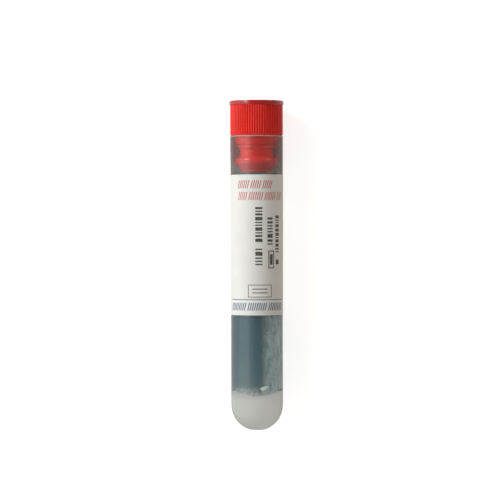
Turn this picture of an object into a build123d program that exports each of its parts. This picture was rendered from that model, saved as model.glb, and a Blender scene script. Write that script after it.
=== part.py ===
"""A 13 x 75 mm serum tube with its push-in stopper, lying on its side.

The tube's axis runs along Y, with the stopper towards +Y and the printed side of the label up.
The origin is on the surface that the tube lies on, under the middle of its length.
Lengths are in millimetres, and a depth is measured from the tube's mouth towards its bottom.
"""

import os
from math import cos, degrees, radians, sin, sqrt

from build123d import *

# Tube
tube_length = 75.0
barrel_diameter = 13.05
mouth_growth = 0.35  # how much wider the mouth is than the parallel barrel
taper_length = 46.5  # depth at which the barrel becomes parallel
tube_wall = 1.15
foot_diameter = 3.6  # small flat under the round bottom
lip_rounding = 0.3

# Stopper, the head above the mouth
head_height = 8.85
grip_overhang = 0.01  # how far the ribs stand out past the tube's mouth
rib_count = 64
rib_radius = 0.2
rib_chamfer = 0.18
flange_overhang = 0.25  # past the ribs
flange_thickness = 1.1
flange_top_rounding = 0.45
flange_under_rounding = 0.2
rim_width = 1.76  # flat ring around the dish in the top
dish_depth = 0.5
dish_rounding = 0.3

# Stopper, the plug inside the mouth
seal_clearance = 0.05  # radial, so that the stopper slides
upper_seal_end = 2.3
step_inset = 0.45  # radial, as the other insets are, from the seal
step_end = 3.2
waist_inset = 1.3
waist_start = 3.7
waist_end = 5.6
lower_seal_start = 6.1
lower_seal_end = 7.2
nose_inset = 1.4
nose_start = 8.9
plug_length = 9.4
plug_rounding = 0.12
plug_wall = 1.05  # between the waist and the blind core
core_rounding = 0.8
crown_thickness = 2.0  # between the end of the core and the dish

# Label
label_start = 10.0
label_height = 36.0
label_width = 38.0  # around the tube, which leaves a clear strip underneath
label_thickness = 0.1
glue_thickness = 0.02

# Gel
gel_height = 8.4  # at the wall, above the inside of the bottom
meniscus_depth = 1.0
gel_clearance = 0.02

# Dried clot activator on the inside wall
coating_overlap = 4.0  # how far the film runs up behind the label
coating_end_gap = 0.1  # from the gel's edge
coating_thickness = 0.08
coating_clearance = 0.02
flake_length = 2.4
flake_width = 1.0
flake_thickness = 0.4
flake_clearance = 0.02
flake_rise = 1.2  # from the gel's edge to the flake's middle
flake_angle = 20.0  # degrees around the tube, from the top towards +X
flake_slant = 22.0  # degrees out of square to the tube's axis

# Sizes and places that follow from these
barrel_radius = barrel_diameter / 2
mouth_radius = (barrel_diameter + mouth_growth) / 2
foot_radius = foot_diameter / 2
grip_radius = mouth_radius + grip_overhang
flange_radius = grip_radius + flange_overhang
axis_height = flange_radius  # the flange carries the tube at this end
top_y = (tube_length + head_height) / 2
flange_y = top_y - flange_thickness
mouth_y = top_y - head_height
bottom_y = mouth_y - tube_length
dome_y = bottom_y + sqrt(barrel_radius**2 - foot_radius**2)  # centre of the round bottom
well_radius = barrel_radius - tube_wall  # bore of the parallel barrel and of the round bottom
gel_edge_y = dome_y - well_radius + gel_height
tube_axis = Axis((0, 0, axis_height), (0, 1, 0))


def along(angle=90.0):
    """The half plane from the tube's axis at an angle from the top, with x as the radius."""
    turn = radians(angle)
    return Plane(
        origin=(0, 0, axis_height),
        x_dir=(sin(turn), 0, cos(turn)),
        z_dir=(-cos(turn), 0, sin(turn)),
    )


def across(y):
    """The plane square to the tube's axis at y, which faces the stopper."""
    return Plane(origin=(0, y, axis_height), x_dir=(1, 0, 0), z_dir=(0, 1, 0))


def outer_radius(depth):
    """The tube's outer radius at a depth, above the round bottom."""
    share = min(depth / taper_length, 1.0)
    return mouth_radius + (barrel_radius - mouth_radius) * share


def bore_radius(depth):
    return outer_radius(depth) - tube_wall


# Tube: one moulding, with its round bottom and its small foot
with BuildPart() as tube:
    with BuildSketch(along()):
        with BuildLine():
            Line((0, bottom_y), (foot_radius, bottom_y))
            RadiusArc((foot_radius, bottom_y), (barrel_radius, dome_y), -barrel_radius)
            Polyline(
                (barrel_radius, dome_y),
                (barrel_radius, mouth_y - taper_length),
                (mouth_radius, mouth_y),
                (bore_radius(0), mouth_y),
                (well_radius, mouth_y - taper_length),
                (well_radius, dome_y),
            )
            RadiusArc((well_radius, dome_y), (0, dome_y - well_radius), well_radius)
            Line((0, dome_y - well_radius), (0, bottom_y))
        make_face()
    revolve(axis=tube_axis)
    fillet(tube.edges().group_by(Axis.Y)[-1], radius=lip_rounding)

# Stopper: one moulding
upper_seal = bore_radius(upper_seal_end) - seal_clearance
lower_seal = bore_radius(lower_seal_end) - seal_clearance
waist_radius = upper_seal - waist_inset
nose_radius = lower_seal - nose_inset
nose_y = mouth_y - plug_length

with BuildPart() as stopper:
    # the ribbed grip, with its ribs chamfered where they meet the lip
    with BuildSketch(across(mouth_y)):
        Circle(grip_radius - rib_radius)
        with PolarLocations(grip_radius - rib_radius, rib_count):
            Circle(rib_radius)
    extrude(amount=flange_y - mouth_y)
    with BuildSketch(along()):
        with BuildLine():
            Polyline(
                (grip_radius - rib_chamfer, mouth_y),
                (grip_radius + rib_chamfer, mouth_y),
                (grip_radius + rib_chamfer, mouth_y + 2 * rib_chamfer),
                close=True,
            )
        make_face()
    revolve(axis=tube_axis, mode=Mode.SUBTRACT)
    # the flange
    with BuildSketch(along()) as flange:
        with BuildLine():
            Polyline(
                (0, flange_y),
                (flange_radius, flange_y),
                (flange_radius, top_y),
                (0, top_y),
                close=True,
            )
        make_face()
        edge_corners = flange.vertices().group_by(Axis.X)[-1].sort_by(Axis.Y)
        fillet(edge_corners[0], radius=flange_under_rounding)
        fillet(edge_corners[-1], radius=flange_top_rounding)
    revolve(axis=tube_axis)
    # the plug: the upper seal and its step, the waist, the lower seal and the nose
    with BuildSketch(along()) as plug:
        with BuildLine():
            Polyline(
                (0, mouth_y),
                (upper_seal, mouth_y),
                (upper_seal, mouth_y - upper_seal_end),
                (upper_seal - step_inset, mouth_y - upper_seal_end),
                (upper_seal - step_inset, mouth_y - step_end),
                (waist_radius, mouth_y - waist_start),
                (waist_radius, mouth_y - waist_end),
                (lower_seal, mouth_y - lower_seal_start),
                (lower_seal, mouth_y - lower_seal_end),
                (nose_radius, mouth_y - nose_start),
                (nose_radius, nose_y),
                (0, nose_y),
                close=True,
            )
        make_face()
        plug_corners = plug.vertices().filter_by(lambda corner: corner.X > nose_radius / 2)
        fillet(plug_corners.filter_by(lambda corner: corner.Y < mouth_y), radius=plug_rounding)
    revolve(axis=tube_axis)
    # the dish in the top
    with BuildSketch(along()) as dish:
        with BuildLine():
            Polyline(
                (0, top_y),
                (flange_radius - rim_width, top_y),
                (flange_radius - rim_width, top_y - dish_depth),
                (0, top_y - dish_depth),
                close=True,
            )
        make_face()
        fillet(dish.vertices().group_by(Axis.Y)[0].sort_by(Axis.X)[-1], radius=dish_rounding)
    revolve(axis=tube_axis, mode=Mode.SUBTRACT)
    # the blind core, open at the nose
    with BuildSketch(along()) as core:
        with BuildLine():
            core_radius = waist_radius - plug_wall
            core_end_y = top_y - dish_depth - crown_thickness
            Polyline(
                (0, nose_y),
                (core_radius, nose_y),
                (core_radius, core_end_y),
                (0, core_end_y),
                close=True,
            )
        make_face()
        fillet(core.vertices().group_by(Axis.Y)[-1].sort_by(Axis.X)[-1], radius=core_rounding)
    revolve(axis=tube_axis, mode=Mode.SUBTRACT)

# Label: a strip around the taper, with its two ends either side of the underside
label_end = label_start + label_height
label_turn = degrees(label_width / outer_radius(label_start + label_height / 2))
with BuildPart() as label:
    with BuildSketch(along(-label_turn / 2)):
        with BuildLine():
            upper = outer_radius(label_start) + glue_thickness
            lower = outer_radius(label_end) + glue_thickness
            Polyline(
                (upper, mouth_y - label_start),
                (upper + label_thickness, mouth_y - label_start),
                (lower + label_thickness, mouth_y - label_end),
                (lower, mouth_y - label_end),
                close=True,
            )
        make_face()
    revolve(axis=tube_axis, revolution_arc=label_turn)

# Gel: it fills the round bottom, and its top curves up to the wall
with BuildPart() as gel:
    gel_radius = well_radius - gel_clearance
    gel_middle_y = gel_edge_y - meniscus_depth
    meniscus_radius = (gel_radius**2 + meniscus_depth**2) / (2 * meniscus_depth)
    with BuildSketch(along()):
        with BuildLine():
            RadiusArc((0, dome_y - gel_radius), (gel_radius, dome_y), -gel_radius)
            Line((gel_radius, dome_y), (gel_radius, gel_edge_y))
            RadiusArc((gel_radius, gel_edge_y), (0, gel_middle_y), meniscus_radius)
            Line((0, gel_middle_y), (0, dome_y - gel_radius))
        make_face()
    revolve(axis=tube_axis)

# Activator coating: a thin dried film all round the bore, from behind the label to the gel
with BuildPart() as activator_coating:
    with BuildSketch(along()):
        with BuildLine():
            film_top_y = mouth_y - label_end + coating_overlap
            film_end_y = gel_edge_y + coating_end_gap
            film_radius = well_radius - coating_clearance
            Polyline(
                (film_radius, film_top_y),
                (film_radius, film_end_y),
                (film_radius - coating_thickness, film_end_y),
                (film_radius - coating_thickness, film_top_y),
                close=True,
            )
        make_face()
    revolve(axis=tube_axis)

# Activator flake: a slanting scale of the same stuff on the coating, curved to the bore
with BuildPart() as activator_flake:
    flake_y = gel_edge_y + flake_rise
    flake_outside = film_radius - coating_thickness - flake_clearance
    flake_turn = radians(flake_angle)
    with BuildSketch(along()):
        with BuildLine():
            Polyline(
                (flake_outside, flake_y - flake_length),
                (flake_outside, flake_y + flake_length),
                (flake_outside - flake_thickness, flake_y + flake_length),
                (flake_outside - flake_thickness, flake_y - flake_length),
                close=True,
            )
        make_face()
    revolve(axis=tube_axis)
    outward = Plane(
        origin=(0, flake_y, axis_height),
        x_dir=(cos(flake_turn), 0, -sin(flake_turn)),
        z_dir=(sin(flake_turn), 0, cos(flake_turn)),
    )
    with BuildSketch(outward):
        Ellipse(flake_length / 2, flake_width / 2, rotation=flake_slant)
    extrude(amount=barrel_radius, mode=Mode.INTERSECT)

tube.part.label = "tube"
stopper.part.label = "stopper"
label.part.label = "label"
gel.part.label = "gel"
activator_coating.part.label = "activator_coating"
activator_flake.part.label = "activator_flake"

os.makedirs("parts", exist_ok=True)
export_step(tube.part, "parts/tube.step")
export_step(stopper.part, "parts/stopper.step")
export_step(label.part, "parts/label.step")
export_step(gel.part, "parts/gel.step")
export_step(activator_coating.part, "parts/activator_coating.step")
export_step(activator_flake.part, "parts/activator_flake.step")
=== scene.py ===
import random
from math import asin, ceil, cos, degrees, pi, radians, sin, sqrt, tan

import bpy
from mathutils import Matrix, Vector, noise


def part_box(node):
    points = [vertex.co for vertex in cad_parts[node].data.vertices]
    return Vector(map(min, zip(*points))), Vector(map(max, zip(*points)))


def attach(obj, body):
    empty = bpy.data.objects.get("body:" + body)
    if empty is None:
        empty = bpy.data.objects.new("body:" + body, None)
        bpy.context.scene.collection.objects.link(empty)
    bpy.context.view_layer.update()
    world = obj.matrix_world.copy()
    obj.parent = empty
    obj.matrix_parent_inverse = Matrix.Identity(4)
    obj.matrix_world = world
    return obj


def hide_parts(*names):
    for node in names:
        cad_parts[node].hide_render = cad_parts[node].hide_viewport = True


# Blood collection tube lying on its side: stopper towards +Y, printed side of the label up.
# Sizes are in millimetres, angles go from the top towards +X, and depths are below the tube's mouth.
# An outline is a list of (radius from the tube's axis, depth), and its corners also have a rounding.

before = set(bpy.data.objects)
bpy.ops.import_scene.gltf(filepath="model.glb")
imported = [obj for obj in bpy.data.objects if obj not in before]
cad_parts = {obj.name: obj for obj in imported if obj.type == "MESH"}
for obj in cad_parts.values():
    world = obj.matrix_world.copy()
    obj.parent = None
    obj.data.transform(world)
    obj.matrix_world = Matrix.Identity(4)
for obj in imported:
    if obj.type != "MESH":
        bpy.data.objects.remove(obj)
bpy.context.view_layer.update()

mm = 0.001
tubeLow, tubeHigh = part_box("tube")
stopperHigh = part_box("stopper")[1]
mouthY = tubeHigh.y
axisHeight = stopperHigh.x  # the flange carries the tube, so its radius is the height of the axis


# Shared helpers: colours and nodes

def linear(hexColour):
    channels = [int(hexColour[i:i + 2], 16) / 255 for i in (1, 3, 5)]
    return [c / 12.92 if c <= 0.04045 else ((c + 0.055) / 1.055) ** 2.4 for c in channels] + [1.0]


def fillRamp(colourRamp, stops):
    # each stop is a place on the ramp and a hex colour, or a number for a grey
    while len(colourRamp.elements) < len(stops):
        colourRamp.elements.new(1.0)
    for element, (where, value) in zip(colourRamp.elements, stops):
        element.position = where
        element.color = linear(value) if isinstance(value, str) else [value] * 3 + [1.0]


def addNode(tree, kind, settings=None, links=None):
    # settings are a ramp's stops, the node's own values or its unlinked sockets;
    # links are sockets fed by another node, from its first output or from the one given
    node = tree.nodes.new(kind)
    for key, value in (settings or {}).items():
        if key == "stops":
            fillRamp(node.color_ramp, value)
        elif isinstance(key, str) and hasattr(node, key):
            setattr(node, key, value)
        else:
            node.inputs[key].default_value = value
    for key, source in (links or {}).items():
        socket = source.outputs[0] if isinstance(source, bpy.types.Node) else source
        tree.links.new(socket, node.inputs[key])
    return node


def newMaterial(name):
    material = bpy.data.materials.new(name)
    material.use_nodes = True
    tree = material.node_tree
    tree.nodes.clear()
    return material, tree


def positionInMm(tree, stretch=(1, 1, 1), shift=(0, 0, 0)):
    # a point's place on the object, multiplied and moved per axis
    where = addNode(tree, "ShaderNodeTexCoord").outputs["Object"]
    return addNode(tree, "ShaderNodeMapping", {"Scale": [s / mm for s in stretch], "Location": shift},
                   {"Vector": where})


def yAt(depth):
    return mouthY / mm - depth


# Shared helpers: outlines, skins and pieces

def place(radius, angle, depth):
    return Vector((radius * sin(angle) * mm, mouthY - depth * mm, axisHeight + radius * cos(angle) * mm))


def circle(radius, depth, angles):
    # a row of points round the axis, or one point on it
    if radius < 1e-6:
        return [place(0, 0, depth)]
    return [place(radius, angle, depth) for angle in angles]


def arc(centreDepth, radius, start, end, steps):
    # an outline round a centre on the axis, turning in degrees from the mouth's direction
    turns = [radians(start + (end - start) * i / steps) for i in range(steps + 1)]
    return [(radius * sin(t), centreDepth - radius * cos(t)) for t in turns]


def rounded(corners, steps=5):
    # corners of (radius, depth, rounding), with each rounded one turned into a short arc
    points = []
    for i, (radius, depth, rounding) in enumerate(corners):
        here = Vector((radius, depth))
        if not rounding or i in (0, len(corners) - 1):
            points.append((radius, depth))
            continue
        before = (Vector(corners[i - 1][:2]) - here).normalized()
        after = (Vector(corners[i + 1][:2]) - here).normalized()
        half = before.angle(after) / 2
        centre = here + (before + after).normalized() * rounding / sin(half)
        start = here + before * rounding / tan(half) - centre
        turn = (here + after * rounding / tan(half) - centre).angle_signed(start)
        for step in range(steps + 1):
            swing = turn * step / steps
            points.append((centre.x + start.x * cos(swing) - start.y * sin(swing),
                           centre.y + start.x * sin(swing) + start.y * cos(swing)))
    return points


def skin(rows, closeRows=False):
    # a grid of points as quads, each row closed on itself; a row of one point is a pole
    vertices, faces, starts = [], [], []
    for row in rows:
        starts.append(len(vertices))
        vertices.extend(row)
    count = max(len(row) for row in rows)
    pairs = list(zip(range(len(rows)), range(1, len(rows))))
    if closeRows:
        pairs.append((len(rows) - 1, 0))
    for a, b in pairs:
        for column in range(count):
            following = (column + 1) % count
            corners = [(a, column), (b, column), (b, following), (a, following)]
            side = [starts[row] + (c if len(rows[row]) > 1 else 0) for row, c in corners]
            faces.append(list(dict.fromkeys(side)))
    return vertices, faces


def revolved(outline, columns, closed=False):
    angles = [2 * pi * c / columns for c in range(columns)]
    return skin([circle(radius, depth, angles) for radius, depth in outline], closeRows=closed)


def cappedStrip(columns):
    # a strip of closed columns, with a face over either end
    vertices, faces = skin(columns)
    count = len(columns[0])
    faces += [list(range(count)), list(range(len(vertices) - 1, len(vertices) - count - 1, -1))]
    return vertices, faces


def joined(shapes):
    vertices, faces = [], []
    for points, sides in shapes:
        faces += [[corner + len(vertices) for corner in side] for side in sides]
        vertices += points
    return vertices, faces


def enclosed(mesh):
    # signed volume from the faces' centres and normals
    return sum(f.center.dot(f.normal) * f.area for f in mesh.polygons) / 3


def newPiece(name, shape, material, body, replaced=(), sharpAngle=35):
    vertices, faces = shape
    mesh = bpy.data.meshes.new(name)
    mesh.from_pydata(vertices, [], faces)
    mesh.validate()
    # clear plastic refracts the right way only if its faces look outwards
    if enclosed(mesh) < 0:
        mesh.flip_normals()
    mesh.polygons.foreach_set("use_smooth", [True] * len(mesh.polygons))
    mesh.set_sharp_from_angle(angle=radians(sharpAngle))
    mesh.materials.append(material)
    piece = bpy.data.objects.new(name, mesh)
    bpy.context.scene.collection.objects.link(piece)
    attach(piece, body)
    if replaced:
        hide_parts(*replaced)
    return piece


# Tube: injection-moulded clear plastic

barrel = {
    "mouthRadius": tubeHigh.x / mm,
    "radius": 6.58,
    "taperLength": 46.5,
    "wall": 1.15,
    "length": (tubeHigh.y - tubeLow.y) / mm,
    "footRadius": 1.8,  # a small flat at the lowest point
    "footRows": (0, 0.5, 0.93),
    "lipRounding": 0.3,
    "seatGap": 0.03,  # between the lip and the stopper's grip
    "columns": 224, "outerSteps": 26, "innerSteps": 30,
}
barrel["bore"] = barrel["radius"] - barrel["wall"]
barrel["domeDepth"] = barrel["length"] - sqrt(barrel["radius"] ** 2 - barrel["footRadius"] ** 2)


def barrelOutside(depth):
    share = min(depth / barrel["taperLength"], 1.0)
    return barrel["mouthRadius"] + (barrel["radius"] - barrel["mouthRadius"]) * share


def clearPlastic():
    # moulded PET: clear with a faint grey cast, and slight flow lines along the draw that soften reflections
    look = {
        "colour": "#dadddb", "gloss": "#707070", "shade": "#fafbfa", "refraction": 1.5, "roughness": 0.08,
        "flowWidth": 2.2, "flowStretch": 0.12, "flowHeight": 0.002, "flowStrength": 0.35,
        "lipFrost": 0.4, "lipDepth": 0.5,
        # painted reflection of the plug's red in the wall: how deep it reaches, and the shares of the way up
        # where it is full, ends and gives way to the lip
        "paintedPlugRed": "#dc8379", "paintedLipRed": "#fccfc4", "paintedRedAndMilkDepth": 10.2, "paintedRedFull": 0.46, "paintedRedEnd": 0.955,
        "paintedLipFrom": 0.975, "paintedRedInside": 0.6, "paintedRedOutside": 0.3, "milk": 0.03, "milkDepth": 8.0,
        # round the gel's edge, above and below it
        "haze": 1.0, "clearEnd": 0.1, "hazeRoughness": 0.43, "hazeAbove": 0.5, "hazeBelow": 1.5,
        "paintedLimbShade": "#8d8f8d", "limbFacing": (0.72, 0.9), "limbBelow": 0.6,
    }
    material, tree = newMaterial("mouldedClearPET")
    drawn = positionInMm(tree, (1, look["flowStretch"], 1))
    flow = addNode(tree, "ShaderNodeTexNoise", {"Scale": 1 / look["flowWidth"], "Detail": 2.0},
                   {"Vector": drawn})
    bump = addNode(tree, "ShaderNodeBump", {
        "Strength": look["flowStrength"], "Distance": look["flowHeight"] * mm}, {"Height": flow})
    spot = addNode(tree, "ShaderNodeSeparateXYZ", links={0: positionInMm(tree)})
    # the lip is a little frosted where the mould closes
    frost = addNode(tree, "ShaderNodeMapRange", {
        "From Min": yAt(look["lipDepth"]), "From Max": yAt(look["lipDepth"] / 2),
        "To Min": 1.0, "To Max": 1 - look["lipFrost"]}, {"Value": spot.outputs["Y"]})
    # round the plug the wall is a little milky
    milk = addNode(tree, "ShaderNodeMapRange", {
        "From Min": yAt(look["paintedRedAndMilkDepth"]), "From Max": yAt(look["milkDepth"]),
        "To Min": 1.0, "To Max": 1 - look["milk"]}, {"Value": spot.outputs["Y"]})
    clear = addNode(tree, "ShaderNodeMath", {"operation": "MULTIPLY"}, {0: frost, 1: milk})
    # and its outside is painted with some of the plug's red, a painted reflection, less at the lip
    near = addNode(tree, "ShaderNodeMapRange", {"From Min": yAt(look["paintedRedAndMilkDepth"]), "From Max": yAt(0)},
                   {"Value": spot.outputs["Y"]})
    paintedRed = addNode(tree, "ShaderNodeValToRGB", {"stops": [
        (0.0, look["colour"]), (look["paintedRedFull"], look["paintedPlugRed"]),
        (look["paintedRedEnd"], look["paintedPlugRed"]), (look["paintedLipFrom"], look["paintedLipRed"])]}, {"Fac": near})
    radius = addNode(tree, "ShaderNodeVectorMath", {"operation": "LENGTH"},
                     {0: positionInMm(tree, (1, 0, 1), (0, 0, -axisHeight / mm))})
    outside = addNode(tree, "ShaderNodeMapRange", {
        "From Min": barrel["mouthRadius"] - look["paintedRedInside"],
        "From Max": barrel["mouthRadius"] - look["paintedRedOutside"]}, {"Value": radius.outputs["Value"]})
    colour = addNode(tree, "ShaderNodeMix", {"data_type": "RGBA", 6: linear(look["colour"])},
                     {0: outside, 7: paintedRed}).outputs[2]
    # the handled upper part has a fine haze, the round end filled with gel is clearer
    haze = addNode(tree, "ShaderNodeMapRange", {
        "From Min": yAt(gelEdgeDepth + look["hazeBelow"]), "From Max": yAt(gelEdgeDepth - look["hazeAbove"]),
        "To Min": look["clearEnd"], "To Max": look["haze"]}, {"Value": spot.outputs["Y"]})
    # where it is looked along, the round end's wall is painted greyer: painted shade at its edges
    facing = addNode(tree, "ShaderNodeLayerWeight", {"Blend": 0.5})
    grazing = addNode(tree, "ShaderNodeMapRange", {
        "From Min": look["limbFacing"][0], "From Max": look["limbFacing"][1]},
        {"Value": facing.outputs["Facing"]})
    low = addNode(tree, "ShaderNodeMapRange", {
        "From Min": yAt(gelEdgeDepth), "From Max": yAt(gelEdgeDepth + look["limbBelow"])},
        {"Value": spot.outputs["Y"]})
    paintedLimbShade = addNode(tree, "ShaderNodeMath", {"operation": "MULTIPLY"}, {0: grazing, 1: low})
    colour = addNode(tree, "ShaderNodeMix", {"data_type": "RGBA", 7: linear(look["paintedLimbShade"])},
                     {0: paintedLimbShade, 6: colour}).outputs[2]
    plastic = addNode(tree, "ShaderNodeBsdfPrincipled", {
        "Roughness": look["roughness"], "IOR": look["refraction"], "Specular Tint": linear(look["gloss"]),
        "Coat Roughness": look["hazeRoughness"]},
        {"Base Color": colour, "Normal": bump, "Transmission Weight": clear, "Coat Weight": haze})
    # lamps shine through the wall, a little dimmer, instead of stopping at it
    passing = addNode(tree, "ShaderNodeBsdfTransparent", {"Color": linear(look["shade"])})
    path = addNode(tree, "ShaderNodeLightPath")
    surface = addNode(tree, "ShaderNodeMixShader", links={
        0: path.outputs["Is Shadow Ray"], 1: plastic, 2: passing})
    addNode(tree, "ShaderNodeOutputMaterial", links={"Surface": surface})
    return material


def makeTube():
    outer, inner, mouth = barrel["radius"], barrel["bore"], barrel["mouthRadius"]
    dome, taper = barrel["domeDepth"], barrel["taperLength"]
    seat, lip = barrel["seatGap"], barrel["lipRounding"]
    footTurn = 180 - degrees(asin(barrel["footRadius"] / outer))
    # from the middle of the foot up the outside, over the lip and down the bore
    outline = [(barrel["footRadius"] * share, barrel["length"]) for share in barrel["footRows"]]
    outline += arc(dome, outer, footTurn, 90, barrel["outerSteps"])
    outline += rounded([(outer, taper, 0), (mouth, seat, lip), (mouth - barrel["wall"], seat, lip),
                        (inner, taper, 0)], steps=6)
    outline += arc(dome, inner, 90, 180, barrel["innerSteps"])
    newPiece("clear_tube", revolved(outline, barrel["columns"]), clearPlastic(),
             "filled_tube", ["tube"], sharpAngle=30)


# Stopper: moulded low-density polyethylene

stopper = {
    "headHeight": (stopperHigh.y - mouthY) / mm,
    "flangeRadius": axisHeight / mm, "flangeThickness": 1.1, "flangeTop": 0.35, "flangeUnder": 0.2,
    "rimWidth": 1.76, "rimEdge": 0.06, "dishDepth": 0.5, "dishRounding": 0.3,
    "gripRadius": 6.71, "ribs": 64, "ribHalfWidth": 0.3, "ribHeight": 0.27, "ribSteps": 6,
    "chamferRadius": 6.53, "chamferRises": (0.36, 0.18, 0.12, 0.06, 0.0),
    # the plug's corners, from the mouth to its nose
    "plug": (
        (5.381, 0, 0), (5.381, 0.6, 0.1), (5.491, 1.4, 0.2), (5.491, 2.3, 0.2),  # upper seal
        (4.72, 2.35, 0.08), (4.72, 2.72, 0.05),  # narrow groove
        (4.931, 2.72, 0.2), (5.041, 3.08, 0.05), (5.041, 3.2, 0.05),  # middle step
        (4.191, 3.7, 0.4), (4.191, 5.6, 0.3),  # waist
        (5.33, 5.95, 0.32), (5.473, 6.4, 0.1), (5.473, 7.2, 0.3),  # lower seal
        (4.073, 8.9, 0.12), (4.073, 9.4, 0.12)),  # nose
    "coreRadius": 3.141, "coreEdge": 0.05, "coreRounding": 0.8, "crown": 2.0,
}


def redPolyethylene():
    # moulded polyethylene: saturated red with a waxy softness;
    # the rim and the plug are polished, the grip is satin
    look = {
        "colour": "#f42210", "shade": "#ec1f0f", "paintedRimShade": "#c9b8b8", "refraction": 1.51, "cloud": 2.857,
        "polished": 0.1, "satin": 0.24, "waxRoughness": 0.055, "grain": 0.12, "grainHeight": 0.003,
        "grainStrength": 0.3, "grainRoughness": 0.08, "softness": 0.25, "softDepth": 0.2,
        "softReach": (1.0, 0.3, 0.25),
    }
    material, tree = newMaterial("mouldedRedPolyethylene")
    where = positionInMm(tree)
    grain = addNode(tree, "ShaderNodeTexNoise", {"Scale": 1 / look["grain"], "Detail": 3.0},
                    {"Vector": where})
    cloud = addNode(tree, "ShaderNodeTexNoise", {"Scale": 1 / look["cloud"], "Detail": 2.0},
                    {"Vector": where})
    colour = addNode(tree, "ShaderNodeValToRGB", {"stops": [(0.3, look["shade"]), (0.7, look["colour"])]},
                     {"Fac": cloud})
    spot = addNode(tree, "ShaderNodeSeparateXYZ", links={0: where})
    reach = 10.0  # either side of the mouth
    height = addNode(tree, "ShaderNodeMapRange", {"From Min": yAt(reach), "From Max": yAt(-reach)},
                     {"Value": spot.outputs["Y"]})
    gripLow, step = 0.5, 0.001
    gripHigh = gripLow + (stopper["headHeight"] - stopper["flangeThickness"]) / (2 * reach)

    def bands(plug, grip, rim):
        # stops that give each of the three a value of its own
        return [(gripLow - step, plug), (gripLow + step, grip), (gripHigh, grip), (gripHigh + 2 * step, rim)]

    gloss = addNode(tree, "ShaderNodeValToRGB", {
        "stops": bands(look["polished"], look["satin"], look["polished"])}, {"Fac": height})
    wax = addNode(tree, "ShaderNodeValToRGB", {"stops": bands(1.0, 0.0, 1.0)}, {"Fac": height})
    # the flange is painted a deeper red than the ribs: painted shade on the rim
    depth = addNode(tree, "ShaderNodeValToRGB", {
        "stops": bands("#ffffff", "#ffffff", look["paintedRimShade"])}, {"Fac": height})
    colour = addNode(tree, "ShaderNodeMix", {"data_type": "RGBA", "blend_type": "MULTIPLY", 0: 1.0},
                     {6: colour, 7: depth}).outputs[2]
    gloss = addNode(tree, "ShaderNodeMath", {"operation": "MULTIPLY_ADD", 1: look["grainRoughness"]},
                    {0: grain, 2: gloss})
    bump = addNode(tree, "ShaderNodeBump", {
        "Strength": look["grainStrength"], "Distance": look["grainHeight"] * mm}, {"Height": grain})
    plastic = addNode(tree, "ShaderNodeBsdfPrincipled", {
        "IOR": look["refraction"], "Subsurface Weight": look["softness"],
        "Subsurface Scale": look["softDepth"] * mm, "Subsurface Radius": look["softReach"],
        "Coat Roughness": look["waxRoughness"]},
        {"Coat Weight": wax, "Base Color": colour, "Roughness": gloss, "Normal": bump})
    addNode(tree, "ShaderNodeOutputMaterial", links={"Surface": plastic})
    return material


def makeStopper():
    s = stopper
    top, under = -s["headHeight"], s["flangeThickness"] - s["headHeight"]
    dishRadius, dishFloor = s["flangeRadius"] - s["rimWidth"], top + s["dishDepth"]
    coreTop, plugEnd = dishFloor + s["crown"], s["plug"][-1][1]
    valley = s["gripRadius"] - s["ribHeight"]
    head = rounded([
        (0, dishFloor, 0), (dishRadius, dishFloor, s["dishRounding"]), (dishRadius, top, s["rimEdge"]),
        (s["flangeRadius"], top, s["flangeTop"]), (s["flangeRadius"], under, s["flangeUnder"]),
        (valley, under, 0)])
    plug = rounded([
        *s["plug"], (s["coreRadius"], plugEnd, s["coreEdge"]), (s["coreRadius"], coreTop, s["coreRounding"]),
        (0, coreTop, 0)], steps=4)
    # round the grip, a valley and then a swell for each rib
    turns = [pi * step / s["ribSteps"] for step in range(s["ribSteps"] + 1)]
    angles, swell = [], []
    for rib in range(s["ribs"]):
        middle = 2 * pi * rib / s["ribs"]
        angles += [middle - pi / s["ribs"]] + [middle - s["ribHalfWidth"] / valley * cos(t) for t in turns]
        swell += [0.0] + [s["ribHeight"] * sin(t) for t in turns]
    rows = [circle(radius, depth, angles) for radius, depth in head[:-1]]
    # the ribs go from the flange down to a chamfer at the lip
    for rise in (-under, -under / 2, *s["chamferRises"]):
        most = max(s["chamferRadius"] + rise, valley)
        rows.append([place(min(valley + w, most), a, -rise) for a, w in zip(angles, swell)])
    rows += [circle(radius, depth, angles) for radius, depth in plug]
    newPiece("push_stopper", skin(rows), redPolyethylene(), "cap", ["stopper"], sharpAngle=32)


# Label: coated paper strip

label = {
    "start": 10.05, "height": 35.62, "width": 38.0, "thickness": 0.055, "glue": 0.02,
    "cornerRounding": 0.9, "cornerSteps": 6, "columns": 180, "rows": 6,
}
label["turn"] = label["width"] / barrelOutside(label["start"] + label["height"] / 2)


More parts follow.
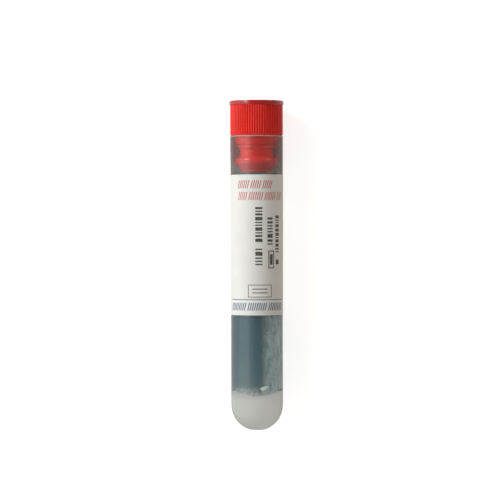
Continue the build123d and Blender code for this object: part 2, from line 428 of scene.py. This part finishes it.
def coatedPaper():
    # coated label paper: off-white, half matt, with a faint cloudiness and fibres that catch the light
    look = {
        "colour": "#f4f3ee", "shade": "#f1efe9", "through": "#b9b4aa", "refraction": 1.47, "roughness": 0.5,
        "cloud": 3.333, "fibre": 0.25, "fibreHeight": 0.006, "fibreStrength": 0.5,
    }
    material, tree = newMaterial("coatedLabelPaper")
    where = positionInMm(tree)
    fibre = addNode(tree, "ShaderNodeTexNoise", {
        "Scale": 1 / look["fibre"], "Detail": 5.0, "Roughness": 0.65}, {"Vector": where})
    cloud = addNode(tree, "ShaderNodeTexNoise", {"Scale": 1 / look["cloud"], "Detail": 2.0},
                    {"Vector": where})
    colour = addNode(tree, "ShaderNodeValToRGB", {"stops": [(0.3, look["shade"]), (0.7, look["colour"])]},
                     {"Fac": cloud})
    bump = addNode(tree, "ShaderNodeBump", {
        "Strength": look["fibreStrength"], "Distance": look["fibreHeight"] * mm}, {"Height": fibre})
    paper = addNode(tree, "ShaderNodeBsdfPrincipled", {
        "IOR": look["refraction"], "Roughness": look["roughness"]}, {"Base Color": colour, "Normal": bump})
    # thin paper: part of a lamp's light comes through it into the tube
    passing = addNode(tree, "ShaderNodeBsdfTransparent", {"Color": linear(look["through"])})
    path = addNode(tree, "ShaderNodeLightPath")
    surface = addNode(tree, "ShaderNodeMixShader", links={
        0: path.outputs["Is Shadow Ray"], 1: paper, 2: passing})
    addNode(tree, "ShaderNodeOutputMaterial", links={"Surface": surface})
    return material


def makeLabel():
    half, corner = label["width"] / 2, label["cornerRounding"]
    straight = half - corner
    middleRadius = label["width"] / label["turn"]
    spread = [half * (2 * c / label["columns"] - 1) for c in range(label["columns"] + 1)]
    quarter = [pi / 2 * i / label["cornerSteps"] for i in range(label["cornerSteps"])]
    ends = [half - corner * (1 - cos(t)) for t in quarter]
    columns = []
    for along in sorted([s for s in spread if abs(s) < straight] + ends + [-e for e in ends]):
        past = max(abs(along) - straight, 0)
        inset = corner - sqrt(max(corner ** 2 - past ** 2, 0))
        upper, lower = label["start"] + inset, label["start"] + label["height"] - inset
        depths = [upper + (lower - upper) * i / label["rows"] for i in range(label["rows"] + 1)]
        angle = along / middleRadius
        outside = [place(barrelOutside(d) + label["glue"] + label["thickness"], angle, d) for d in depths]
        inside = [place(barrelOutside(d) + label["glue"], angle, d) for d in reversed(depths)]
        columns.append(outside + inside)
    newPiece("paper_label", cappedStrip(columns), coatedPaper(), "filled_tube", ["label"],
             sharpAngle=40)


# Print: plain marks in four inks, with no lettering

ink = {"thickness": 0.012, "sink": 0.006, "step": 0.25}
marking = {"seed": 7, "barThicknesses": (0.7, 1.2, 2.0), "barGap": 0.85, "groupGap": 0.7}
# sides are measured round the label from its middle, ends as depths: a bar is left, right, upper and lower,
# a frame adds its line's width, and a ladder its number of bars; hatching is left, upper, lower,
# the strokes in each group, and a stroke's width, pitch and slant
prints = {
    "print_red": {
        "material": "flexographicRedInk", "colour": "#cf5f52",
        "hatching": ((-5.2, 11.5, 13.55, (6, 5, 5), 0.24, 0.53, 0.5),
                     (-5.2, 14.45, 16.5, (5, 7, 6, 4), 0.24, 0.53, 0.5)),
    },
    "print_black": {
        "material": "flexographicBlackInk", "colour": "#1f1e1f",
        "bars": ((3.45, 4.25, 30.2, 32.9), (5.3, 6.4, 31.6, 32.8)),
        "frames": ((3.0, 4.7, 29.3, 33.8, 0.26),),
        "ladders": ((-0.36, 1.42, 18.3, 27.5, 10), (-0.36, 1.42, 28.8, 33.4, 5),
                    (2.75, 4.25, 20.9, 28.2, 8), (5.2, 6.5, 20.4, 30.0, 11)),
    },
    "print_grey": {
        "material": "flexographicGreyInk", "colour": "#6e685f",
        "bars": ((-1.1, 2.7, 38.9, 39.15), (-1.1, 2.7, 39.85, 40.1)),
        "frames": ((-2.27, 3.9, 37.9, 41.15, 0.19),),
    },
    "print_blue": {
        "material": "flexographicBlueInk", "colour": "#41648c",
        "bars": ((-7.9, 8.2, 41.6, 41.8),),
        "hatching": ((-7.8, 42.5, 44.45, (9, 9, 9), 0.27, 0.55, 0.45),),
    },
}


def printedInk(name, colour):
    # flexographic ink: flat colour that thins a little over the paper's grain
    look = {"worn": "#e9e6e0", "wear": 0.3, "speckle": 0.25, "roughness": 0.42, "refraction": 1.5}
    material, tree = newMaterial(name)
    speckle = addNode(tree, "ShaderNodeTexNoise", {"Scale": 1 / look["speckle"], "Detail": 3.0},
                      {"Vector": positionInMm(tree)})
    worn = addNode(tree, "ShaderNodeMapRange", {
        "From Min": 0.35, "From Max": 0.75, "To Min": 0.0, "To Max": look["wear"]}, {"Value": speckle})
    mixed = addNode(tree, "ShaderNodeMix", {"data_type": "RGBA", 6: linear(colour), 7: linear(look["worn"])},
                    {0: worn})
    layer = addNode(tree, "ShaderNodeBsdfPrincipled", {
        "Roughness": look["roughness"], "IOR": look["refraction"]}, {"Base Color": mixed.outputs[2]})
    addNode(tree, "ShaderNodeOutputMaterial", links={"Surface": layer})
    return material


def inkMark(left, right, upper, lower, slant=0.0):
    # one closed chip of ink, sunk a little into the paper; its slant is its lean towards the stopper
    steps = max(2, ceil((right - left) / ink["step"]))
    columns = []
    for i in range(steps + 1):
        column = []
        for lift, order in ((ink["thickness"], (0, 0.5, 1)), (-ink["sink"], (1, 0.5, 0))):
            for share in order:
                depth = upper + (lower - upper) * share
                along = left + (right - left) * i / steps + slant * (1 - share)
                radius = barrelOutside(depth) + label["glue"] + label["thickness"] + lift
                column.append(place(radius, along / barrelOutside(depth), depth))
        columns.append(column)
    return cappedStrip(columns)


def inkFrame(left, right, upper, lower, line):
    return [(left, right, upper, upper + line), (left, right, lower - line, lower),
            (left, left + line, upper + line, lower - line),
            (right - line, right, upper + line, lower - line)]


def hatch(left, upper, lower, groups, line, pitch, slant):
    # slanted strokes of one size, in groups of the given counts
    marks = []
    for count in groups:
        marks += [(left + pitch * i, left + pitch * i + line, upper, lower, slant) for i in range(count)]
        left += pitch * (count + marking["groupGap"])
    return marks


def ladder(left, right, upper, lower, bars):
    # bars right across a column, each given as (thickness, gap) shares of its length
    step = (lower - upper) / sum(sum(bar) for bar in bars)
    marks, depth = [], upper
    for thickness, gap in bars:
        marks.append((left, right, depth, depth + thickness * step))
        depth += (thickness + gap) * step
    return marks


def makePrints():
    seeded = random.Random(marking["seed"])
    for name, look in prints.items():
        marks = list(look.get("bars", ()))
        for sides in look.get("frames", ()):
            marks += inkFrame(*sides)
        for *sides, count in look.get("ladders", ()):
            bars = [(seeded.choice(marking["barThicknesses"]), marking["barGap"]) for _ in range(count)]
            marks += ladder(*sides, bars)
        for strokes in look.get("hatching", ()):
            marks += hatch(*strokes)
        shape = joined([inkMark(*mark) for mark in marks])
        newPiece(name, shape, printedInk(look["material"], look["colour"]),
                 "filled_tube", sharpAngle=60)


# Separating gel: cloudy, filling the round bottom

gel = {
    "height": 9.15, "meniscus": 1.35, "hollow": 2.6, "wetting": 0.015,
    "columns": 128, "domeSteps": 24, "topSteps": 18, "evenness": 0.5, "lean": 0.45,
    # how densely it shows
    "halfWidth": 5.05, "skirtPower": 2.0, "ripple": 0.5, "cloud": 2.222,
}
gelEdgeDepth = barrel["domeDepth"] + barrel["bore"] - gel["height"]


def gelFilling(tree, spot, cloud):
    # 0 at the gel's upper edge, 1 where it has filled the bore; towards the sides one looks along its skirt,
    # so there it counts as full from its edge on
    below = addNode(tree, "ShaderNodeMapRange", {
        "From Min": yAt(gelEdgeDepth), "From Max": yAt(gelEdgeDepth + gel["meniscus"]), "clamp": False},
        {"Value": spot.outputs["Y"]})
    side = addNode(tree, "ShaderNodeMath", {"operation": "MULTIPLY", 1: 1 / gel["halfWidth"]},
                   {0: spot.outputs["X"]})
    side = addNode(tree, "ShaderNodeMath", {"operation": "ABSOLUTE"}, {0: side})
    side = addNode(tree, "ShaderNodeMath", {"operation": "POWER", 1: gel["skirtPower"]}, {0: side})
    ripple = addNode(tree, "ShaderNodeMath", {
        "operation": "MULTIPLY_ADD", 1: gel["ripple"], 2: -gel["ripple"] / 2}, {0: cloud})
    dense = addNode(tree, "ShaderNodeMath", {"operation": "ADD"}, {0: below, 1: side})
    dense = addNode(tree, "ShaderNodeMath", {"operation": "ADD"}, {0: dense, 1: ripple})
    return dense, below


def cloudyGel():
    # separating gel: cloudy grey-white, light soaks in, and painted shade on its better-lit side keeps it
    # evenly bright;
    # its thin upper skirt lets the dark through
    look = {
        "colour": "#fbfaf6", "shade": "#f0efe9", "rim": "#ffffff", "refraction": 1.41, "roughness": 0.35,
        "depth": 7.0, "softReach": (1.0, 1.0, 0.95),
        "paintedShadeFrom": -4.5, "paintedShadeTo": 2.5, "patches": 0.3,
        "cover": ((0.0, 0.3), (0.6, 0.62), (0.78, 1.0)),
        "rag": 0.7143, "ragDepth": 0.9, "ragEdge": (-0.6, -0.3),
        "rimRange": (0.6, 1.6), "rimLine": ((0.2, 0.0), (0.38, 1.0), (0.48, 0.8), (0.7, 0.0)),
    }
    material, tree = newMaterial("cloudySeparatingGel")
    where = positionInMm(tree)
    cloud = addNode(tree, "ShaderNodeTexNoise", {"Scale": 1 / gel["cloud"], "Detail": 3.0},
                    {"Vector": where})
    spot = addNode(tree, "ShaderNodeSeparateXYZ", links={0: where})
    # it has settled a little unevenly, and towards -X, where the lamps light it more, it is painted darker:
    # painted shade that evens its shading
    sideShadeAndPatches = addNode(tree, "ShaderNodeMapRange", {
        "From Min": look["paintedShadeFrom"], "From Max": look["paintedShadeTo"]}, {"Value": spot.outputs["X"]})
    sideShadeAndPatches = addNode(tree, "ShaderNodeMath", {"operation": "MULTIPLY_ADD", 1: look["patches"]},
                     {0: cloud, 2: sideShadeAndPatches})
    colour = addNode(tree, "ShaderNodeValToRGB", {"stops": [(0.15, look["shade"]), (1.0, look["colour"])]},
                     {"Fac": sideShadeAndPatches})
    dense, below = gelFilling(tree, spot, cloud)
    cover = addNode(tree, "ShaderNodeValToRGB", {"stops": look["cover"]}, {"Fac": dense})
    # its upper edge is ragged
    ragged = addNode(tree, "ShaderNodeTexNoise", {"Scale": 1 / look["rag"], "Detail": 4.0, "Roughness": 0.6},
                     {"Vector": where})
    ragged = addNode(tree, "ShaderNodeMath", {"operation": "MULTIPLY_ADD", 1: -look["ragDepth"]},
                     {0: ragged, 2: below})
    ragged = addNode(tree, "ShaderNodeMapRange", {
        "From Min": look["ragEdge"][0], "From Max": look["ragEdge"][1]}, {"Value": ragged})
    alpha = addNode(tree, "ShaderNodeMath", {"operation": "MULTIPLY"}, {0: cover, 1: ragged})
    # a paler line where the skirt becomes solid
    line = addNode(tree, "ShaderNodeMapRange", {
        "From Min": look["rimRange"][0], "From Max": look["rimRange"][1]}, {"Value": dense})
    line = addNode(tree, "ShaderNodeValToRGB", {"stops": look["rimLine"]}, {"Fac": line})
    colour = addNode(tree, "ShaderNodeMix", {"data_type": "RGBA", 7: linear(look["rim"])},
                     {0: line, 6: colour}).outputs[2]
    body = addNode(tree, "ShaderNodeBsdfPrincipled", {
        "IOR": look["refraction"], "Roughness": look["roughness"], "Subsurface Weight": 1.0,
        "Subsurface Scale": look["depth"] * mm, "Subsurface Radius": look["softReach"]},
        {"Base Color": colour, "Alpha": alpha})
    addNode(tree, "ShaderNodeOutputMaterial", links={"Surface": body})
    return material


def makeGel():
    radius = barrel["bore"] + gel["wetting"]
    outline = arc(barrel["domeDepth"], radius, 180, 90, gel["domeSteps"])
    # the top creeps up the wall in a thin skirt and is nearly flat in the middle
    for step in range(gel["topSteps"] + 1):
        share = 1 - step / gel["topSteps"]
        outline.append((radius * share, gelEdgeDepth + gel["meniscus"] * (1 - share ** gel["hollow"])))
    piece = newPiece("separating_gel", revolved(outline, gel["columns"]), cloudyGel(),
                     "filled_tube", ["gel"], sharpAngle=50)
    # light soaks through the gel, so its flanks are shaded much as its top is
    upward = Vector((gel["lean"], 0, 1)).normalized() * gel["evenness"]
    soft = [(v.normal * (1 - gel["evenness"]) + upward).normalized() for v in piece.data.vertices]
    piece.data.normals_split_custom_set_from_vertices(soft)


# Dried clot activator: a film round the bore

film = {
    "underLabel": 4.0, "overGel": 1.5, "thickness": 0.08, "contact": 0.03, "columns": 160, "rows": 40,
}


def driedFilm():
    # dried additive on the bore: a thin blue-green veil, partly painted shade for the dark seen through the
    # tube;
    # streaked along the tube, paler and thicker on one side, towards the gel and in a ring just above it
    look = {
        "veilAndPaintedShade": "#46737f", "pale": "#bfd6de", "ringPale": "#c6cbc4", "roughness": 0.6, "gloss": 0.1,
        "streak": 1.25, "streakStretch": 0.4, "patches": (0.34, 0.68), "leastPatch": 0.32,
        "paleSide": 1.4, "paleFrom": 0.9, "paleTo": 3.6, "paleFull": 0.75, "paleCover": 0.52,
        "ring": 0.95, "ringHeight": 1.3, "ringDepth": 0.8, "gathered": 0.18, "run": 11.0,
        "thin": 0.22, "thick": 0.34, "fullGel": 0.95, "partGel": 0.75,
    }
    material, tree = newMaterial("driedActivatorFilm")
    where = positionInMm(tree)
    spot = addNode(tree, "ShaderNodeSeparateXYZ", links={0: where})
    streaks = addNode(tree, "ShaderNodeTexNoise", {
        "Scale": 1 / look["streak"], "Detail": 6.0, "Roughness": 0.6, "Distortion": 0.7},
        {"Vector": positionInMm(tree, (1, look["streakStretch"], 1))})
    patches = addNode(tree, "ShaderNodeMapRange", {
        "From Min": look["patches"][0], "From Max": look["patches"][1], "To Min": look["leastPatch"]},
        {"Value": streaks})
    side = addNode(tree, "ShaderNodeMapRange", {
        "From Min": look["paleFrom"], "From Max": look["paleTo"], "To Max": look["paleSide"]},
        {"Value": spot.outputs["X"]})
    ring = addNode(tree, "ShaderNodeMapRange", {
        "From Min": yAt(gelEdgeDepth - look["ringHeight"]),
        "From Max": yAt(gelEdgeDepth + look["ringDepth"]), "To Max": look["ring"]},
        {"Value": spot.outputs["Y"]})
    gathered = addNode(tree, "ShaderNodeMapRange", {
        "From Min": yAt(gelEdgeDepth - look["run"]), "From Max": yAt(gelEdgeDepth),
        "To Max": look["gathered"]}, {"Value": spot.outputs["Y"]})
    pale = addNode(tree, "ShaderNodeMath", {"operation": "ADD"}, {0: side, 1: ring})
    pale = addNode(tree, "ShaderNodeMath", {"operation": "ADD"}, {0: pale, 1: gathered})
    pale = addNode(tree, "ShaderNodeMath", {"operation": "MULTIPLY"}, {0: pale, 1: patches})
    colour = addNode(tree, "ShaderNodeMix", {
        "data_type": "RGBA", 6: linear(look["ringPale"]), 7: linear(look["pale"])}, {0: side}).outputs[2]
    much = addNode(tree, "ShaderNodeMapRange", {"From Max": look["paleFull"]}, {"Value": pale})
    # the dark veil colour is partly the additive's tint and partly painted shade
    colour = addNode(tree, "ShaderNodeMix", {"data_type": "RGBA", 6: linear(look["veilAndPaintedShade"])},
                     {0: much, 7: colour}).outputs[2]
    cover = addNode(tree, "ShaderNodeMapRange", {
        "From Min": 0.3, "From Max": 0.7, "To Min": look["thin"], "To Max": look["thick"]},
        {"Value": streaks})
    cover = addNode(tree, "ShaderNodeMath", {"operation": "MULTIPLY_ADD", 1: look["paleCover"]},
                    {0: pale, 2: cover})
    # it ends where the gel is solid
    cloud = addNode(tree, "ShaderNodeTexNoise", {"Scale": 1 / gel["cloud"], "Detail": 3.0},
                    {"Vector": where})
    dense = gelFilling(tree, spot, cloud)[0]
    kept = addNode(tree, "ShaderNodeMapRange", {"From Min": look["fullGel"], "From Max": look["partGel"]},
                   {"Value": dense})
    alpha = addNode(tree, "ShaderNodeMath", {"operation": "MULTIPLY"}, {0: cover, 1: kept})
    layer = addNode(tree, "ShaderNodeBsdfPrincipled", {
        "Roughness": look["roughness"], "Specular IOR Level": look["gloss"]},
        {"Base Color": colour, "Alpha": alpha})
    addNode(tree, "ShaderNodeOutputMaterial", links={"Surface": layer})
    return material


def makeFilm():
    outer = barrel["bore"] + film["contact"]
    inner = barrel["bore"] - film["thickness"]
    start = label["start"] + label["height"] - film["underLabel"]
    end = gelEdgeDepth + film["overGel"]
    depths = [start + (end - start) * i / film["rows"] for i in range(film["rows"] + 1)]
    outline = [(outer, d) for d in depths] + [(inner, d) for d in reversed(depths)]
    newPiece("activator_film", revolved(outline, film["columns"], closed=True), driedFilm(), "filled_tube",
             ["activator_coating"], sharpAngle=60)


# Crusts of the same additive: one flake, and specks in the film

flake = {
    "angle": 20.4, "depth": 64.1, "length": 2.75, "width": 0.95, "slant": 22.0, "seed": 3.0,
    "thickness": 0.42, "wetting": 0.075, "rings": 28, "around": 40, "taper": 0.4,
}
specks = {
    "seed": 11, "count": 60, "seeds": (0, 90),
    # angles and depths are lowest, highest and most frequent, slants are middle and spread
    "angles": (17, 56, 46), "depths": (47.5, 66.0, 60),
    "lengths": (0.12, 0.7), "lengthPower": 1.5, "shortest": 0.1, "widths": (0.05, 0.14), "slants": (90, 12),
    "make": {"thickness": 0.06, "wetting": 0.035, "rings": 10, "around": 12},
    # angle, depth, length, width and slant of the larger scales
    "scales": (
        (48.5, 59.0, 2.6, 0.2, 84), (52.0, 61.5, 1.3, 0.16, 95), (27.0, 50.2, 0.5, 0.22, 60),
        (29.0, 50.9, 0.35, 0.2, 20), (43.0, 62.6, 1.1, 0.14, 80), (38.0, 64.2, 0.7, 0.12, 70),
        (73.0, 58.9, 1.7, 0.3, 82), (76.0, 57.2, 0.7, 0.2, 95), (57.0, 57.6, 0.8, 0.18, 100),
        (62.0, 54.4, 0.5, 0.2, 80), (68.0, 62.0, 0.9, 0.2, 100)),
}
lumps = {"raggedness": 0.28, "raggedScale": 1.7, "shoulder": 0.3}


def driedPowder():
    # dried additive where it is thick: chalky, pale green-white
    look = {
        "colour": "#e9f4ee", "shade": "#cfdfd5", "roughness": 0.6, "grain": 0.16667, "grainHeight": 0.03,
        "grainStrength": 0.6, "softness": 0.3, "softDepth": 0.4,
    }
    material, tree = newMaterial("driedActivatorCrust")
    grains = addNode(tree, "ShaderNodeTexNoise", {"Scale": 1 / look["grain"], "Detail": 4.0},
                     {"Vector": positionInMm(tree)})
    colour = addNode(tree, "ShaderNodeValToRGB", {"stops": [(0.3, look["shade"]), (0.65, look["colour"])]},
                     {"Fac": grains})
    bump = addNode(tree, "ShaderNodeBump", {
        "Strength": look["grainStrength"], "Distance": look["grainHeight"] * mm}, {"Height": grains})
    crust = addNode(tree, "ShaderNodeBsdfPrincipled", {
        "Roughness": look["roughness"], "Subsurface Weight": look["softness"],
        "Subsurface Scale": look["softDepth"] * mm}, {"Base Color": colour, "Normal": bump})
    addNode(tree, "ShaderNodeOutputMaterial", links={"Surface": crust})
    return material


def lump(angle, depth, length, width, slant, seed, thickness, wetting, rings, around, taper=0.0):
    # a flattened, lumpy scale curved to the bore, with its thickness inwards
    outerRadius, lean = barrel["bore"] + wetting, radians(slant)
    rows = []
    for ring in range(rings + 1):
        polar = pi * ring / rings
        row = []
        for step in range(around if 0 < ring < rings else 1):
            turn = 2 * pi * step / around
            direction = Vector((cos(polar), sin(polar) * cos(turn), sin(polar) * sin(turn)))
            bulge = noise.noise(direction * lumps["raggedScale"] + Vector((seed, 0, 0)))
            ragged = 1 + lumps["raggedness"] * bulge
            u = direction.x * length / 2 * ragged
            v = direction.y * width / 2 * ragged * (1 - taper * direction.x)
            lift = direction.z if direction.z < 0 else direction.z ** lumps["shoulder"]
            inwards = thickness / 2 * (1 - lift * min(ragged, 1.0))
            across = u * cos(lean) - v * sin(lean)
            down = -(u * sin(lean) + v * cos(lean))
            row.append(place(outerRadius - inwards, radians(angle) + across / outerRadius, depth + down))
        rows.append(row)
    return skin(rows)


def makeCrusts():
    crust = driedPowder()
    newPiece("activator_flake_crust", lump(**flake), crust, "filled_tube", ["activator_flake"],
             sharpAngle=60)
    seeded = random.Random(specks["seed"])
    scales = list(specks["scales"])
    for _ in range(specks["count"]):
        scales.append((
            seeded.triangular(*specks["angles"]), seeded.triangular(*specks["depths"]),
            max(seeded.uniform(*specks["lengths"]) ** specks["lengthPower"], specks["shortest"]),
            seeded.uniform(*specks["widths"]), seeded.gauss(*specks["slants"])))
    shapes = [lump(*scale, seed=seeded.uniform(*specks["seeds"]), **specks["make"]) for scale in scales]
    newPiece("activator_specks", joined(shapes), crust, "filled_tube", sharpAngle=60)


# Studio: floor, world, lamps and camera

studio = {
    "floorColour": "#e4e4e2", "floorGlow": 0.75, "shadowColour": "#3a3c3a", "shadowGlow": 0.12,
    "shadowReach": 14.0, "shadowFull": 0.22, "shadowEnd": 0.52,
    "throughShade": 0.66, "glossShade": 0.36, "glossShare": 0.12,
    "skyLight": 0.2, "zenith": 0.16, "horizon": (0.15, 0.6),
    "cameraX": -1.7, "cameraY": 3.88, "cameraRise": 6.3, "cameraRoll": 0.12, "lens": 194.8, "sensor": 36.0,
    "cameraHeight": 0.69, "floorSize": 6.0,  # both in metres
}

# in metres: a place over the tube's middle, and the lamp's size along the tube and across it
lamps = {
    "key_softbox": {"place": (-0.52, -0.5, 0.3), "size": (1.7, 0.66), "power": 3.1, "colour": "#fbfdff"},
    "key_edge": {"place": (-0.42, 0.15, 0.42), "size": (1.7, 0.12), "power": 0.65, "colour": "#ffffff"},
    "fill_softbox": {"place": (0.55, -0.45, 0.245), "size": (0.3, 0.64), "power": 0.42, "colour": "#ffe9c8"},
    "key_strip": {"place": (-0.5, 0.42, 0.33), "size": (0.22, 0.24), "power": 2.6, "colour": "#ffffff"},
    "fill_strip": {"place": (0.52, 0.42, 0.3), "size": (0.45, 0.14), "power": 0.75, "colour": "#fff0da"},
}


def whiteShare(tree, path):
    # 1 for what the camera sees straight or through the plastic, less for what gloss reflects
    shiny = addNode(tree, "ShaderNodeMath", {"operation": "MULTIPLY_ADD", 1: studio["glossShare"]},
                    {0: path.outputs["Is Glossy Ray"], 2: path.outputs["Is Camera Ray"]})
    return addNode(tree, "ShaderNodeMath", {"operation": "ADD", "use_clamp": True},
                   {0: shiny, 1: path.outputs["Is Transmission Ray"]})


def makeFloor():
    # a pale painted sheet: matt, white to the camera, and darker round the tube
    material, tree = newMaterial("paleStudioFloor")
    path = addNode(tree, "ShaderNodeLightPath")
    seen = whiteShare(tree, path)
    # the glow fades beneath the tube, and further out for what is seen through or in the clear wall
    hidden = addNode(tree, "ShaderNodeAmbientOcclusion", {
        "samples": 8, "Distance": studio["shadowReach"] * mm})
    through = addNode(tree, "ShaderNodeMath", {
        "operation": "MULTIPLY_ADD", 1: -studio["throughShade"], 2: 1.0},
        {0: path.outputs["Is Transmission Ray"]})
    through = addNode(tree, "ShaderNodeMath", {"operation": "MULTIPLY_ADD", 1: -studio["glossShade"]},
                      {0: path.outputs["Is Glossy Ray"], 2: through})
    share = addNode(tree, "ShaderNodeMath", {"operation": "MULTIPLY"}, {0: hidden.outputs["AO"], 1: through})
    clear = addNode(tree, "ShaderNodeMapRange", {
        "From Min": studio["shadowFull"], "From Max": studio["shadowEnd"], "To Min": studio["shadowGlow"],
        "interpolation_type": "SMOOTHSTEP"}, {"Value": share})
    glow = addNode(tree, "ShaderNodeMath", {"operation": "MULTIPLY"}, {0: seen, 1: clear})
    glow = addNode(tree, "ShaderNodeMath", {"operation": "MULTIPLY", 1: studio["floorGlow"]}, {0: glow})
    colour = addNode(tree, "ShaderNodeMix", {
        "data_type": "RGBA", 6: linear(studio["shadowColour"]), 7: linear(studio["floorColour"])},
        {0: clear})
    paint = addNode(tree, "ShaderNodeBsdfPrincipled", {
        "Roughness": 0.8, "Emission Color": (1, 1, 1, 1), "Specular IOR Level": 0.0},
        {"Base Color": colour.outputs[2], "Emission Strength": glow})
    addNode(tree, "ShaderNodeOutputMaterial", links={"Surface": paint})
    half = studio["floorSize"] / 2
    mesh = bpy.data.meshes.new("studio_floor")
    corners = [(-half, -half, 0), (half, -half, 0), (half, half, 0), (-half, half, 0)]
    mesh.from_pydata(corners, [], [(0, 1, 2, 3)])
    mesh.materials.append(material)
    floor = bpy.data.objects.new("studio_floor", mesh)
    bpy.context.scene.collection.objects.link(floor)


def makeWorld():
    world = bpy.data.worlds.new("studioWorld")
    bpy.context.scene.world = world
    world.use_nodes = True
    tree = world.node_tree
    tree.nodes.clear()
    seen = whiteShare(tree, addNode(tree, "ShaderNodeLightPath"))
    way = addNode(tree, "ShaderNodeTexCoord")
    height = addNode(tree, "ShaderNodeSeparateXYZ", links={0: way.outputs["Generated"]})
    # white round the horizon, dim overhead as in a studio with a dark ceiling
    white = addNode(tree, "ShaderNodeMapRange", {
        "From Min": studio["horizon"][0], "From Max": studio["horizon"][1], "To Min": 1.0,
        "To Max": studio["zenith"], "interpolation_type": "SMOOTHSTEP"}, {"Value": height.outputs["Z"]})
    strength = addNode(tree, "ShaderNodeMix", {"data_type": "FLOAT", 2: studio["skyLight"]},
                       {0: seen, 3: white})
    background = addNode(tree, "ShaderNodeBackground", {"Color": (1, 1, 1, 1)}, {"Strength": strength})
    addNode(tree, "ShaderNodeOutputWorld", links={"Surface": background})


def makeLamp(name, lamp):
    light = bpy.data.lights.new(name, "AREA")
    light.shape = "RECTANGLE"
    light.size, light.size_y = lamp["size"]
    light.energy = lamp["power"]
    light.color = linear(lamp["colour"])[:3]
    holder = bpy.data.objects.new(name, light)
    towardsAxis = Vector((-lamp["place"][0], 0, -lamp["place"][2]))
    holder.location = Vector(lamp["place"]) + Vector((0, 0, axisHeight))
    holder.rotation_euler = towardsAxis.to_track_quat("-Z", "Y").to_euler()
    bpy.context.scene.collection.objects.link(holder)


def makeCamera():
    camera = bpy.data.cameras.new("camera")
    camera.lens = studio["lens"]
    camera.sensor_width = studio["sensor"]
    camera.clip_start = 0.01
    holder = bpy.data.objects.new("camera", camera)
    holder.rotation_euler.z = -radians(studio["cameraRoll"])  # the tube leans a little in the view
    # it stands level with the label's upper half, as the tube's edges bow, and its view is shifted back
    rise = studio["cameraRise"] * mm
    camera.shift_y = -rise * camera.lens / (camera.sensor_width * studio["cameraHeight"])
    holder.location = (studio["cameraX"] * mm, studio["cameraY"] * mm + rise,
                       axisHeight + studio["cameraHeight"])
    bpy.context.scene.collection.objects.link(holder)
    bpy.context.scene.camera = holder


# Build

makeTube()
print("stage: tube made")
makeStopper()
print("stage: stopper made")
makeLabel()
makePrints()
print("stage: label and print made")
makeGel()
print("stage: gel made")
makeFilm()
makeCrusts()
print("stage: activator made")
makeFloor()
makeWorld()
for lampName, lampLook in lamps.items():
    makeLamp(lampName, lampLook)
makeCamera()
bpy.context.scene.view_settings.view_transform = "Standard"
print("stage: studio made")
